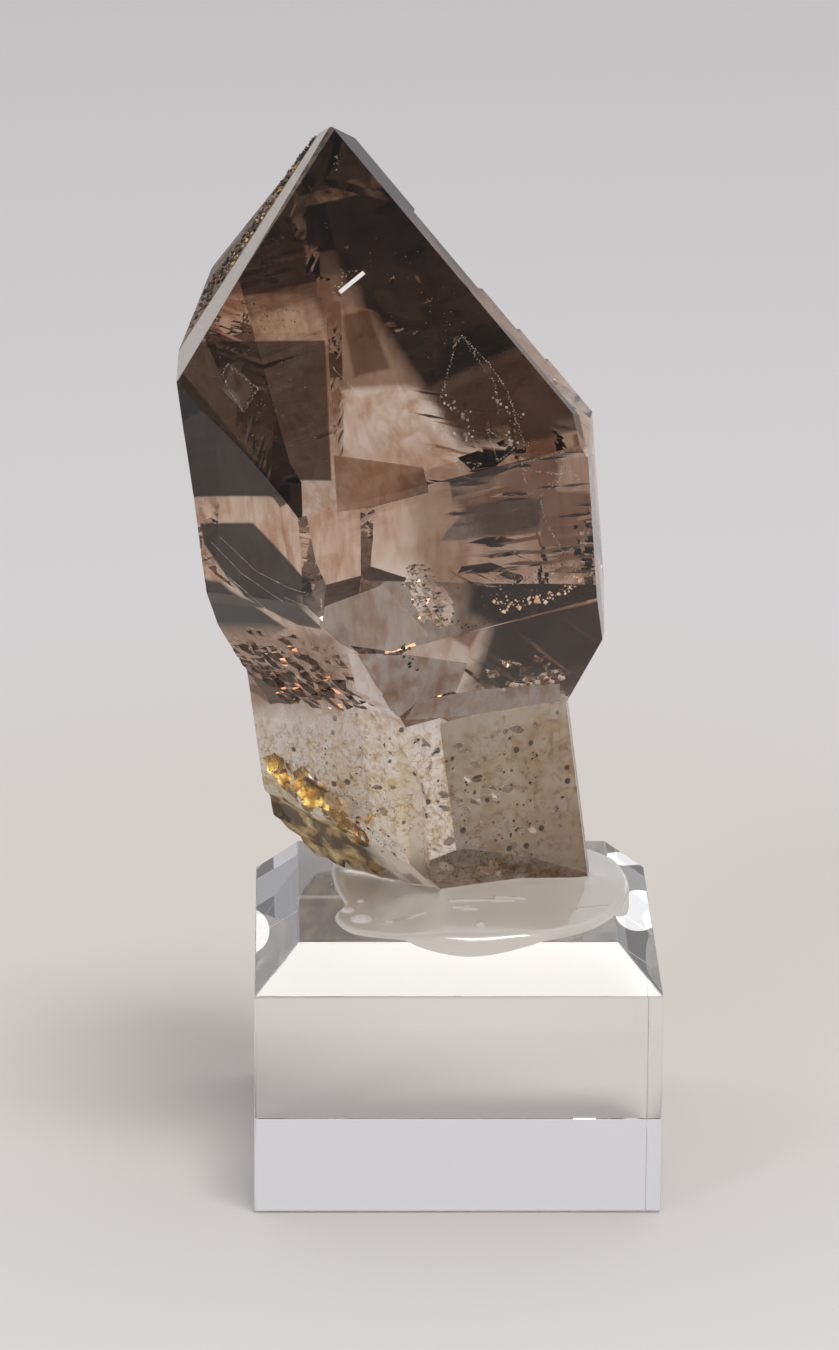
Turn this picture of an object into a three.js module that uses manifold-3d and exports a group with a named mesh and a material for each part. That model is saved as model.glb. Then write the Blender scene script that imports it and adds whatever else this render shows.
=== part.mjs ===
// Smoky quartz scepter crystal standing in a clear resin seat on a clear acrylic display block.
// Millimetres. +X is right, +Y is away from the viewer, +Z is up.
// The origin is the centre of the block's underside.

import * as THREE from 'three';
import { mergeVertices } from 'three/addons/utils/BufferGeometryUtils.js';
import Module from 'manifold-3d';

const wasm = await Module();
wasm.setup();

// Acrylic block: an inch and a half square, one inch high, its four top edges cut at 45 degrees
const BLOCK_SIDE = 38.1;
const BLOCK_HEIGHT = 25.4;
const BLOCK_CHAMFER = 4.1;

// Resin seat: a low puddle round the crystal's foot, which runs over the block's front edge
const SEAT_CENTRE = new THREE.Vector2(1.5, 0.5);
const SEAT_RIM = 0.75;
const SEAT_SHOULDER = 1.0;
const SEAT_RINGS = 9;
const SEAT_SPOKES = 72;
const SEAT_OUTLINE = [
  [16.6, -1.0], [15.4, -6.5], [12.6, -11.6], [8.8, -15.2], [5.4, -16.3], [1.6, -16.9], [-2.4, -16.4],
  [-6.0, -14.9], [-9.6, -12.6], [-11.3, -8.6], [-9.6, -4.6], [-11.5, 1.5], [-11.2, 9.0], [-5.6, 13.6],
  [2.0, 14.4], [9.0, 13.4], [14.6, 9.6], [16.4, 4.6],
];
// How far the resin rises over the block by the crystal, as [x, rise] from left to right
const SEAT_RISES = [[-5.9, 1.1], [-1.4, 2.3], [6.0, 2.3], [11.5, 1.6]];
const FOOT_LEVEL = 26.3;
const GAP = 0.3;

// How the crystal stands: where its long axis passes the seat, its leans and its turn, in degrees.
// That point is the origin of the crystal's own frame, in which the long axis is Z.
const CRYSTAL_AT = new THREE.Vector3(-2.3, 3.0, 28.0);
const LEAN_LEFT = 7.5;
const LEAN_FORWARD = 2.5;
const CRYSTAL_TURN = 23;

// Quartz face directions: the angle between a face's normal and the long axis, in degrees
const PRISM = 90;
const RHOMB = 51.79;

// Faces are [azimuth, polar angle, distance]: azimuth from the crystal's front towards its right.
// The back left face is a steep growth slope, so the head is deepest just above its neck.
const HEAD = {
  frontRhomb: [0, RHOMB, 36.45],
  leftRhomb: [-118.4, 47.0, 49.35],
  rightRhomb: [60, RHOMB, 42.1],
  backRhomb: [180, RHOMB, 50.2],
  front: [0, PRISM, 13.96],
  frontLeft: [-60, PRISM, 19.65],
  left: [-120, PRISM, 15.5],
  backLeft: [180, 81.3, 27.6],
  backRight: [120, PRISM, 12.1],
  right: [60, 93, 18.15],
  rightCorner: [48, 70, 33.1],
};

// The flat along the edge of the front and left rhomb faces: [height, width] at its tip and foot
const EDGE_FLAT_TIP = [70, 0.5];
const EDGE_FLAT_FOOT = [50, 1.7];

// Facets that draw in under the head: [azimuth, polar angle, a distance from the axis, its height]
const NECK = {
  front: [0, 114.6, 13.96, 26.15],
  frontLeft: [-60, 124, 19.65, 33],
  leftUpper: [-120, 101, 15.96, 31],
  leftLower: [-120, 110, 15.35, 25.6],
  backLeft: [180, 148, 8.5, 16.4],
  backRight: [120, 117, 7, 15.5],
  right: [60, 124, 17.04, 17.78],
};
const NECK_FLOOR = 12;

// The stem: a smaller prism of the same lattice, broken off at a slant on its lower left
const STEM = {
  front: [0, PRISM, 9.46],
  frontLeft: [-60, PRISM, 9.6],
  left: [-120, PRISM, 14.7],
  backLeft: [180, PRISM, 8.5],
  backRight: [120, PRISM, 7.0],
  right: [60, PRISM, 15.1],
};
const STEM_TOP = 26;
const STEM_BREAK = [-72, 120.7, 4.9];
const BREAK_RELIEF = 0.5;
const BREAK_STEP = 0.2;

// A relief tool keeps this far off the face where it carves nothing
const SKIM = 0.05;

// Reliefs are placed by how far across and up their face they are, and turned by spin in degrees
const CHIP = { across: 0.5, up: 42.6, width: 19.2, height: 19.2, depth: 0.7 };
const RAGGED_FIELD = { across: -2, up: 26, width: 19, height: 15, depth: 1.0 };
const BACK_STEPS = { across: 3, up: 38, width: 30, height: 34, pitch: 3.1, depth: 0.1 };
const NECK_STEPS = { across: 2, up: 25, width: 20, height: 14, pitch: 3.4, depth: 0.06 };
const RIGHT_STEPS = { across: -4, up: 31.5, width: 26, height: 15, pitch: 1.9, depth: 0.1 };
const LEFT_STEPS = { across: 1, up: 36, width: 28, height: 16, pitch: 2.9, depth: 0.12 };
const CRUMBLY_HOLLOW = { across: -2.4, up: 30.5, spin: 24, width: 3.8, height: 7.8, depth: 0.8 };
const NECK_HOLLOWS = { across: 7.5, up: 20.6, spin: 4, width: 11, height: 2.6, depth: 1.1 };
const DIAMOND_PIT = { across: -14.9, up: 37.5, spin: -8, width: 3.2, height: 5, depth: 0.6 };
const TRIANGLE_PIT = { across: -5.2, up: 34.9, spin: 15, radius: 1.35, depth: 0.45 };
const NICK = { across: -0.6, up: 44.9, spin: 27, width: 3.7, height: 0.8, depth: 0.35 };

// The back right prism face keeps back in level shelves towards the tip
const SHELVES = [
  { distance: 11.4, from: 47, to: 50 },
  { distance: 10.6, from: 50, to: 54 },
  { distance: 9.65, from: 54, to: 61.4 },
  { distance: 10.4, from: 61.4, to: 75 },
];

// The stem's front face ends on its left in a scalloped ledge
const LEDGE_DEPTH = 1.2;
const LEDGE_OUTLINE = [
  [-5.9, 18.5], [-5.65, 16.4], [-4.6, 13.5], [-3.55, 11.4], [-3.3, 9.3], [-3.75, 5.0], [-4.4, -4.0],
  [-12, -4.0], [-12, 18.5],
];

const rad = THREE.MathUtils.degToRad;
const Z_AXIS = new THREE.Vector3(0, 0, 1);

const crystalPlace = new THREE.Matrix4().compose(
  CRYSTAL_AT,
  new THREE.Quaternion().setFromEuler(new THREE.Euler(rad(LEAN_FORWARD), rad(-LEAN_LEFT), rad(CRYSTAL_TURN))),
  new THREE.Vector3(1, 1, 1),
);

// A flat face is a plane with its outward normal, its distance from the frame's origin and two
// directions that lie in it: across, which is level to the long axis, and up
function faceAlong(normal, distance) {
  const across = new THREE.Vector3().crossVectors(Z_AXIS, normal);
  if (across.lengthSq() < 1e-12) across.set(1, 0, 0);
  across.normalize();
  const up = new THREE.Vector3().crossVectors(normal, across);
  return { normal, distance, across, up };
}

// Azimuth runs from the crystal's front (-Y) towards its right (+X), polar from the long axis
function face(azimuth, polar, distance) {
  const sine = Math.sin(rad(polar));
  const normal = new THREE.Vector3(
    sine * Math.sin(rad(azimuth)),
    -sine * Math.cos(rad(azimuth)),
    Math.cos(rad(polar)),
  );
  return faceAlong(normal, distance);
}

// A sloping face given by the prism-like distance that it has at a height, in place of its own
function slopeThrough(azimuth, polar, outward, height) {
  const distance = Math.sin(rad(polar)) * outward + Math.cos(rad(polar)) * height;
  return face(azimuth, polar, distance);
}

// The face that planes off the edge of two others and leaves a flat of the widths given at two heights
function flatAlongEdge(first, second, [tipHeight, tipWidth], [footHeight, footWidth]) {
  const cosine = first.normal.dot(second.normal);
  const share = 1 / (1 - cosine * cosine);
  const onFirst = (first.distance - cosine * second.distance) * share;
  const onSecond = (second.distance - cosine * first.distance) * share;
  const onEdge = first.normal.clone().multiplyScalar(onFirst).addScaledVector(second.normal, onSecond);
  const along = new THREE.Vector3().crossVectors(first.normal, second.normal).normalize();
  const pointAt = (height) => onEdge.clone().addScaledVector(along, (height - onEdge.z) / along.z);
  const outward = first.normal.clone().add(second.normal).normalize();
  const cutFor = (width) => (width / 2) / Math.tan(Math.acos(cosine) / 2);
  const tip = pointAt(tipHeight).addScaledVector(outward, -cutFor(tipWidth));
  const foot = pointAt(footHeight).addScaledVector(outward, -cutFor(footWidth));
  const slope = tip.clone().sub(foot).normalize();
  const normal = outward.addScaledVector(slope, -outward.dot(slope)).normalize();
  return faceAlong(normal, tip.dot(normal));
}

function grown(faces, by) {
  return faces.map((one) => ({ ...one, distance: one.distance + by }));
}

function meetingPoint(first, second, third) {
  const secondThird = new THREE.Vector3().crossVectors(second.normal, third.normal);
  const scale = first.normal.dot(secondThird);
  if (Math.abs(scale) < 1e-9) return null;
  return secondThird.multiplyScalar(first.distance)
    .add(new THREE.Vector3().crossVectors(third.normal, first.normal).multiplyScalar(second.distance))
    .add(new THREE.Vector3().crossVectors(first.normal, second.normal).multiplyScalar(third.distance))
    .divideScalar(scale);
}

// The closed body that a set of flat faces bounds
function polyhedron(faces) {
  const nearness = 1e-6;
  const corners = [];
  const cornersOf = faces.map(() => []);
  const keep = (corner, owners) => {
    const known = corners.findIndex((other) => other.distanceTo(corner) < nearness * 10);
    const index = known < 0 ? corners.push(corner) - 1 : known;
    for (const owner of owners) {
      if (!cornersOf[owner].includes(index)) cornersOf[owner].push(index);
    }
  };
  for (let i = 0; i < faces.length; i += 1) {
    for (let j = i + 1; j < faces.length; j += 1) {
      for (let k = j + 1; k < faces.length; k += 1) {
        const corner = meetingPoint(faces[i], faces[j], faces[k]);
        if (!corner) continue;
        const outside = faces.some((one) => one.normal.dot(corner) > one.distance + nearness);
        if (!outside) keep(corner, [i, j, k]);
      }
    }
  }
  const triangles = [];
  faces.forEach((one, owner) => {
    const loop = cornersOf[owner];
    if (loop.length < 3) return;
    const middle = new THREE.Vector3();
    for (const index of loop) middle.add(corners[index]);
    middle.divideScalar(loop.length);
    const turnOf = (index) => {
      const arm = corners[index].clone().sub(middle);
      return Math.atan2(arm.dot(one.up), arm.dot(one.across));
    };
    loop.sort((a, b) => turnOf(a) - turnOf(b));
    for (let i = 1; i < loop.length - 1; i += 1) triangles.push(loop[0], loop[i], loop[i + 1]);
  });
  const geometry = new THREE.BufferGeometry();
  geometry.setAttribute('position', new THREE.Float32BufferAttribute(corners.flatMap((c) => c.toArray()), 3));
  geometry.setIndex(triangles);
  return geometry;
}

function solid(geometry) {
  const bare = geometry.clone();
  bare.deleteAttribute('normal');
  bare.deleteAttribute('uv');
  const merged = mergeVertices(bare, 1e-5);
  return new wasm.Manifold(new wasm.Mesh({
    numProp: 3,
    vertProperties: Float32Array.from(merged.attributes.position.array),
    triVerts: Uint32Array.from(merged.index.array),
  }));
}

function geometryOf(body) {
  const mesh = body.getMesh();
  const geometry = new THREE.BufferGeometry();
  geometry.setAttribute('position', new THREE.BufferAttribute(mesh.vertProperties, 3));
  geometry.setIndex(new THREE.BufferAttribute(mesh.triVerts, 1));
  geometry.computeVertexNormals();
  return geometry;
}

// Stands a geometry on a face: its X runs across the face, its Y up it and its Z out of it
function onFace(geometry, where, across, up, spin = 0) {
  const origin = where.normal.clone().multiplyScalar(where.distance)
    .addScaledVector(where.across, across)
    .addScaledVector(where.up, up);
  const basis = new THREE.Matrix4().makeBasis(where.across, where.up, where.normal);
  const placed = geometry.clone();
  placed.rotateZ(rad(spin));
  placed.applyMatrix4(basis.setPosition(origin));
  return placed;
}

// A block above a face whose underside dips into it by depthAt(x, y): it carves a relief
function carver({ width, height }, cells, depthAt) {
  const thickness = 6;
  const block = new THREE.BoxGeometry(width, height, thickness, cells.across, cells.up, 1);
  block.translate(0, 0, thickness / 2);
  const points = block.attributes.position;
  for (let i = 0; i < points.count; i += 1) {
    if (points.getZ(i) < thickness / 2) points.setZ(i, -depthAt(points.getX(i), points.getY(i)));
  }
  return block;
}

// A smooth uneven value between about -1 and 1
function uneven(x, y, seed) {
  const broad = Math.sin(0.9 * x + 0.5 * y + seed) * Math.sin(0.7 * y - 0.4 * x + 1.7 * seed);
  const middle = Math.sin(2.3 * x - 1.1 * y + 2.3 * seed) * Math.sin(1.9 * y + 1.3 * x + 0.6 * seed);
  const fine = Math.sin(4.9 * x + 3.1 * y + 3.1 * seed) * Math.sin(5.3 * y - 3.7 * x + seed);
  return 0.5 * broad + 0.32 * middle + 0.18 * fine;
}

function facesOf(table, make) {
  return Object.fromEntries(Object.entries(table).map(([name, values]) => [name, make(...values)]));
}

const head = facesOf(HEAD, face);
const neck = facesOf(NECK, slopeThrough);
const stem = facesOf(STEM, face);
const stemBreak = face(...STEM_BREAK);

function footFace(level) {
  const down = new THREE.Vector3(0, 0, -1).transformDirection(crystalPlace.clone().invert());
  return faceAlong(down, CRYSTAL_AT.z - level);
}

// How far a point is inside an ellipse: 1 at its middle, 0 on its line
function within(x, y, { width, height }) {
  return 1 - (2 * x / width) ** 2 - (2 * y / height) ** 2;
}

// Full depth over the middle of an ellipse, which runs out raggedly before it reaches its line
function tornBowl(x, y, size, seed) {
  const inside = within(x, y, size);
  const torn = inside - 0.2 + 0.8 * uneven(1.1 * x, 1.1 * y, seed);
  return Math.max(0, Math.min(1, 2 * torn, 4 * inside));
}

// Patches over a whole field, which run out to nothing at its ends
function patches(x, y, size, seed) {
  const toEnds = 4 * Math.min(1 - Math.abs(2 * x / size.width), 1 - Math.abs(2 * y / size.height));
  const patch = 0.55 + 0.9 * uneven(0.45 * x, 0.45 * y, seed);
  return Math.max(0, Math.min(1, patch, toEnds));
}

// The slanting break at the stem's lower left, uneven and stepped
function brokenBase() {
  const size = { width: 34, height: 34 };
  const stepAt = (x, y) => Math.sign(Math.sin(0.75 * y + 0.5 * x + 0.8 * Math.sin(0.6 * x)));
  const depthAt = (x, y) => BREAK_RELIEF * uneven(x, y, 1.3) + BREAK_STEP * stepAt(x, y);
  return onFace(carver(size, { across: 30, up: 30 }, depthAt), stemBreak, 0, 2);
}

// The shell-shaped chip on the head's front left, shallow and round
function conchoidalChip(size) {
  const depthAt = (x, y) => size.depth * within(x, y, size);
  const tool = carver(size, { across: 14, up: 14 }, depthAt);
  return onFace(tool, head.frontLeft, size.across, size.up);
}

// Ragged growth under the head's front left, a field of sharp hollows
function raggedField(size) {
  const depthAt = (x, y) => {
    const coarse = Math.abs(uneven(1.1 * x, 1.1 * y, 4.2));
    const fine = Math.abs(uneven(2.6 * x, 2.6 * y, 0.9));
    return size.depth * tornBowl(x, y, size, 2.6) * (coarse + 0.25 * fine) - SKIM;
  };
  const tool = carver(size, { across: 34, up: 26 }, depthAt);
  return onFace(tool, neck.frontLeft, size.across, size.up);
}

// Level growth steps in patches, unevenly spaced, each deepest at its upper side
function growthSteps(where, size) {
  const cellsPerStep = 5;
  const cells = { across: 9, up: Math.round(size.height / size.pitch) * cellsPerStep };
  const depthAt = (x, y) => {
    const wander = 0.5 * Math.sin(0.42 * x + 0.3 * y) + 0.2 * Math.sin(1.3 * x + y);
    const crowding = 1.3 * Math.sin(0.55 * y + 0.8);
    const steps = (y + wander + crowding) / size.pitch;
    return size.depth * patches(x, y, size, size.pitch) * (steps - Math.floor(steps)) - SKIM / 5;
  };
  return onFace(carver(size, cells, depthAt), where, size.across, size.up);
}

function shelf({ distance, from, to }) {
  const bulk = 20;
  const breadth = 60;
  const block = new THREE.BoxGeometry(breadth, to - from, bulk);
  block.translate(0, 0, bulk / 2);
  return onFace(block, { ...head.backRight, distance }, 0, (from + to) / 2);
}

function crumblyHollow(size) {
  const depthAt = (x, y) => {
    const crumbs = 0.8 + 0.6 * uneven(3 * x, 3 * y, 2.1);
    return size.depth * tornBowl(x, y, size, 1.9) * crumbs - SKIM;
  };
  const tool = carver(size, { across: 10, up: 22 }, depthAt);
  return onFace(tool, head.front, size.across, size.up, size.spin);
}

// Small ragged hollows where the neck meets the stem on the right
function neckHollows(size) {
  const depthAt = (x, y) => {
    const ridges = Math.abs(uneven(2.4 * x, 2.4 * y, 5.5));
    return size.depth * within(x, y, size) * ridges - SKIM;
  };
  const tool = carver(size, { across: 30, up: 9 }, depthAt);
  return onFace(tool, neck.front, size.across, size.up, size.spin);
}

// A four-sided hollow on the front rhomb face
function diamondPit({ across, up, spin, width, height, depth }) {
  const pit = new THREE.OctahedronGeometry(1);
  pit.scale(width / 2, height / 2, depth);
  return onFace(pit, head.frontRhomb, across, up, spin);
}

function trianglePit({ across, up, spin, radius, depth }) {
  const pit = new THREE.ConeGeometry(radius, 2 * depth, 3);
  pit.rotateX(-Math.PI / 2);
  return onFace(pit, head.frontRhomb, across, up, spin);
}

function nick({ across, up, spin, width, height, depth }) {
  return onFace(new THREE.BoxGeometry(width, height, 2 * depth), head.frontRhomb, across, up, spin);
}

function stemLedge() {
  const clearance = 4;
  const outline = new THREE.Shape(LEDGE_OUTLINE.map(([x, y]) => new THREE.Vector2(x, y)));
  const ledge = new THREE.ExtrudeGeometry(outline, { depth: LEDGE_DEPTH + clearance, bevelEnabled: false });
  ledge.translate(0, 0, -LEDGE_DEPTH);
  return onFace(ledge, stem.front, 0, 0);
}

function cutFrom(body, cuts) {
  return cuts.reduce((left, cut) => left.subtract(solid(cut)), body);
}

function makeHead() {
  const edgeFlat = flatAlongEdge(head.frontRhomb, head.leftRhomb, EDGE_FLAT_TIP, EDGE_FLAT_FOOT);
  const floor = face(0, 180, -NECK_FLOOR);
  const body = solid(polyhedron([...Object.values(head), edgeFlat, ...Object.values(neck), floor]));
  return cutFrom(body, [
    ...SHELVES.map(shelf),
    growthSteps(head.backLeft, BACK_STEPS),
    growthSteps(neck.backLeft, NECK_STEPS),
    growthSteps(head.backRight, RIGHT_STEPS),
    growthSteps(head.left, LEFT_STEPS),
    conchoidalChip(CHIP),
    raggedField(RAGGED_FIELD),
    crumblyHollow(CRUMBLY_HOLLOW),
    neckHollows(NECK_HOLLOWS),
    diamondPit(DIAMOND_PIT),
    trianglePit(TRIANGLE_PIT),
    nick(NICK),
  ]);
}

function makeStem() {
  const body = solid(polyhedron([...Object.values(stem), face(0, 0, STEM_TOP), footFace(FOOT_LEVEL)]));
  return cutFrom(body, [brokenBase(), stemLedge()]);
}

function makeCrystal() {
  return geometryOf(makeHead().add(makeStem()));
}

// The block's shape, or with its sides and slants set outwards the room that it takes
function blockShape(sideGap = 0, slantGap = 0) {
  const half = BLOCK_SIDE / 2;
  const slantAt = (half + BLOCK_HEIGHT - BLOCK_CHAMFER) * Math.SQRT1_2;
  const faces = [face(0, 0, BLOCK_HEIGHT), face(0, 180, 0)];
  for (const azimuth of [0, 90, 180, 270]) {
    faces.push(face(azimuth, 90, half + sideGap));
    faces.push(face(azimuth, 45, slantAt + slantGap));
  }
  return polyhedron(faces);
}

function seatRise(x) {
  const after = SEAT_RISES.findIndex(([at]) => x < at);
  if (after === 0) return SEAT_RISES[0][1];
  if (after === -1) return SEAT_RISES.at(-1)[1];
  const [left, leftRise] = SEAT_RISES[after - 1];
  const [right, rightRise] = SEAT_RISES[after];
  return THREE.MathUtils.mapLinear(x, left, right, leftRise, rightRise);
}

// The resin's upper surface over a ring of its outline: low at the rim, highest by the crystal
function seatHeight(x, y, inward) {
  const beyond = -y - (BLOCK_SIDE / 2 - BLOCK_CHAMFER);
  const drop = (beyond + Math.hypot(beyond, SEAT_SHOULDER)) / 2;
  const swell = SEAT_RIM + (seatRise(x) - SEAT_RIM) * Math.sqrt(1 - (1 - inward) ** 2);
  return BLOCK_HEIGHT + swell - drop;
}

function seatMound() {
  const bottom = BLOCK_HEIGHT - 4;
  const outline = new THREE.CatmullRomCurve3(
    SEAT_OUTLINE.map(([x, y]) => new THREE.Vector3(x, y, 0)), true, 'centripetal');
  const rim = outline.getSpacedPoints(SEAT_SPOKES).slice(0, SEAT_SPOKES);
  const points = [SEAT_CENTRE.x, SEAT_CENTRE.y, seatHeight(SEAT_CENTRE.x, SEAT_CENTRE.y, 1)];
  const triangles = [];
  for (let ring = 1; ring <= SEAT_RINGS; ring += 1) {
    const reach = Math.sin((ring / SEAT_RINGS) * Math.PI / 2);
    for (const edge of rim) {
      const x = THREE.MathUtils.lerp(SEAT_CENTRE.x, edge.x, reach);
      const y = THREE.MathUtils.lerp(SEAT_CENTRE.y, edge.y, reach);
      points.push(x, y, seatHeight(x, y, Math.min(1, (1 - reach) * 2.2)));
    }
  }
  for (const edge of rim) points.push(edge.x, edge.y, bottom);
  points.push(SEAT_CENTRE.x, SEAT_CENTRE.y, bottom);
  const rowAt = (ring, spoke) => 1 + (ring - 1) * SEAT_SPOKES + (spoke % SEAT_SPOKES);
  const low = rowAt(SEAT_RINGS + 1, 0);
  const last = low + SEAT_SPOKES;
  for (let spoke = 0; spoke < SEAT_SPOKES; spoke += 1) {
    triangles.push(0, rowAt(1, spoke + 1), rowAt(1, spoke));
    for (let ring = 1; ring <= SEAT_RINGS; ring += 1) {
      const a = rowAt(ring, spoke);
      const b = rowAt(ring, spoke + 1);
      const c = rowAt(ring + 1, spoke);
      const d = rowAt(ring + 1, spoke + 1);
      triangles.push(a, b, c, b, d, c);
    }
    triangles.push(last, low + spoke, low + ((spoke + 1) % SEAT_SPOKES));
  }
  const geometry = new THREE.BufferGeometry();
  geometry.setAttribute('position', new THREE.Float32BufferAttribute(points, 3));
  geometry.setIndex(triangles);
  return geometry;
}

// The hole in the resin that the crystal's foot stands in
function seatPocket() {
  const pocket = polyhedron([
    ...grown(Object.values(stem), GAP),
    ...grown([stemBreak], GAP + BREAK_RELIEF + BREAK_STEP),
    face(0, 0, STEM_TOP),
    footFace(FOOT_LEVEL - GAP),
  ]);
  return pocket.applyMatrix4(crystalPlace);
}

function makeSeat() {
  const blockRoom = blockShape(2, GAP);
  return geometryOf(cutFrom(solid(seatMound()), [blockRoom, seatPocket()]));
}

function named(name, geometry, material) {
  const mesh = new THREE.Mesh(geometry, new THREE.MeshStandardMaterial(material));
  mesh.name = name;
  return mesh;
}

const group = new THREE.Group();

const crystal = named('scepter_crystal', makeCrystal(), {
  color: 0x5e4a3e, roughness: 0.06, metalness: 0, transparent: true, opacity: 0.75, flatShading: true,
});
crystal.applyMatrix4(crystalPlace);
group.add(crystal);

group.add(named('acrylic_block', blockShape(), {
  color: 0xf2f3f5, roughness: 0.03, metalness: 0, transparent: true, opacity: 0.3, flatShading: true,
}));

group.add(named('resin_seat', makeSeat(), {
  color: 0xeceae4, roughness: 0.08, metalness: 0, transparent: true, opacity: 0.35,
}));

export default group;
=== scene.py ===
# Smoky quartz scepter crystal in a clear resin seat on a clear acrylic block: the looks.
# Metres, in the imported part's frame: +X is right, +Y is away from the viewer, +Z is up.

import math
import random

import bmesh
import bpy
from mathutils import Matrix, Vector
from mathutils.bvhtree import BVHTree


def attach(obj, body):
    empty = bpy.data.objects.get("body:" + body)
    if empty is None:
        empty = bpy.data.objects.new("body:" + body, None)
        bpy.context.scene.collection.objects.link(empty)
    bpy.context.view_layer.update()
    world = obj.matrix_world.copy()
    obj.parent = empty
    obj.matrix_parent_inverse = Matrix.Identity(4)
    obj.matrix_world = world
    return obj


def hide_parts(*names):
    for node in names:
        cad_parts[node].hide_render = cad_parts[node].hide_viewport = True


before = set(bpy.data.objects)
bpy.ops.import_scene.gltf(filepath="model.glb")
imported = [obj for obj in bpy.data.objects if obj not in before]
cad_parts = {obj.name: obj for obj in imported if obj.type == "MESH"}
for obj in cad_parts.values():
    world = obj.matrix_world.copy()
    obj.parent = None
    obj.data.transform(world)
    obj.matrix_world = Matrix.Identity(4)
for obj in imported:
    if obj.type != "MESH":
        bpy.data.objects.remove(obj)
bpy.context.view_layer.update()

MM = 0.001
Z_AXIS = Vector((0, 0, 1))

# The photograph's camera, in degrees and millimetres
CAMERA_TARGET = Vector((-3.507, 0.0, 46.848))
CAMERA_DISTANCE = 652.84
CAMERA_PITCH = 16.94
CAMERA_YAW = 1.149
CAMERA_ROLL = 0.387
CAMERA_LENS = 184.0
CAMERA_SENSOR = 36.0

# How the crystal stands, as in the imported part, in millimetres and degrees
CRYSTAL_AT = Vector((-2.3, 3.0, 28.0))
LEAN_LEFT = 7.5
LEAN_FORWARD = 2.5
CRYSTAL_TURN = 23.0
CRYSTAL_TURNED = (
    Matrix.Rotation(math.radians(LEAN_FORWARD), 3, "X")
    @ Matrix.Rotation(math.radians(-LEAN_LEFT), 3, "Y")
    @ Matrix.Rotation(math.radians(CRYSTAL_TURN), 3, "Z")
)
TURNED_BACK = CRYSTAL_TURNED.transposed()

# The block and the resin seat, in millimetres
BLOCK_SIDE = 38.1
BLOCK_HEIGHT = 25.4
BLOCK_CHAMFER = 4.1
BLOCK_EDGE = 0.12
SEAT_RISES = [(-5.9, 1.1), (-1.4, 2.3), (6.0, 2.3), (11.5, 1.6)]
SEAT_SHOULDER = 1.0
SEAT_OVERHANG = 0.6
SEAT_ROUNDING = 0.8
SEAT_FALL = 0.6
SEAT_DEPTH = 3.6
SEAT_LEAST_WIDTH = 0.3
SEAT_SPOKES = 144
SEAT_INNER_RINGS = 4
SEAT_OUTER_RINGS = 26
MENISCUS_RISE = 0.15
MENISCUS_REACH = 0.35
STEM_MIDDLE = (1.5, 0.5)
SEAT_OUTLINE = [
    (16.6, -1.0), (15.4, -6.5), (12.8, -11.4), (9.0, -14.5), (5.2, -15.6), (1.3, -16.1), (-2.4, -15.7),
    (-6.0, -14.6), (-9.9, -12.8), (-11.5, -8.6), (-10.6, -4.6), (-11.5, 1.5), (-11.2, 9.0), (-5.6, 13.6),
    (2.0, 14.4), (9.0, 13.4), (14.6, 9.6), (16.4, 4.6),
]

QUARTZ_IOR = 1.544
ACRYLIC_IOR = 1.49
UNBENT_IOR = 1.0

# Material slots, on the clear base and on the crystal; slot 0 is the plain acrylic or quartz
ON_CRYSTAL_SLOT = 1
RESIN_SLOT = 2
BASE_SLOTS = 3
WET_SLOT = 1
EDGE_SLOT = 2
CRACK_SLOT = 3

# The stage's paper, in metres: a painted warm shadow lies round a point, full up to one reach and gone beyond
# another
FLOOR_RADIUS = 1.6
FLOOR_GAP = 0.0002
SHADOW_MIDDLE = (0, 0.06, 0)
SHADOW_REACHES = (0.03, 0.13)

# The surroundings' colour, and how bright the wall, the ceiling and the room are
STUDIO_COLOUR = (0.985, 0.97, 1.0, 1)
WALL_LEVEL = 0.66
CEILING_LEVEL = 0.80
ROOM_LEVEL = 0.26

# Soft lamps: name, place, aim, width and height in metres, power in watts, colour
NEUTRAL = (1, 1, 1)
WARM = (1.0, 0.975, 0.94)
SOFTBOXES = [
    ("key", (0.12, -0.29, 0.97), (0, 0, 0.02), 0.33, 0.27, 3.9, WARM),
    ("rim", (0.55, 0.9, 0.75), (0, 0, 0.04), 0.5, 0.4, 0.2, NEUTRAL),
    ("side", (-0.50, -0.60, 0.62), (-0.012, 0, 0.035), 0.14, 0.14, 0.6, WARM),
]

# Small lamps that the block's chamfers mirror: name, place, width and height in metres, watts
GLINT_AIM = (0, 0, 0.02)
GLINTS = [
    ("left_glint", (-0.427, 1.18, 0.013), 0.013, 0.013, 0.0009),
    ("right_glint", (0.130, 0.33, 0.005), 0.006, 0.007, 0.0002),
    ("right_streak", (0.122, 0.33, 0.007), 0.002, 0.008, 0.00007),
]


def link(obj):
    bpy.context.scene.collection.objects.link(obj)
    return obj


def mesh_object(name, mesh, materials, body="root"):
    obj = link(bpy.data.objects.new(name, mesh))
    for material in materials:
        obj.data.materials.append(material)
    if body:
        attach(obj, body)
    return obj


def mesh_of(name, bm):
    mesh = bpy.data.meshes.new(name)
    bm.to_mesh(mesh)
    bm.free()
    return mesh


def face_out(bm):
    bmesh.ops.recalc_face_normals(bm, faces=bm.faces)


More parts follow.
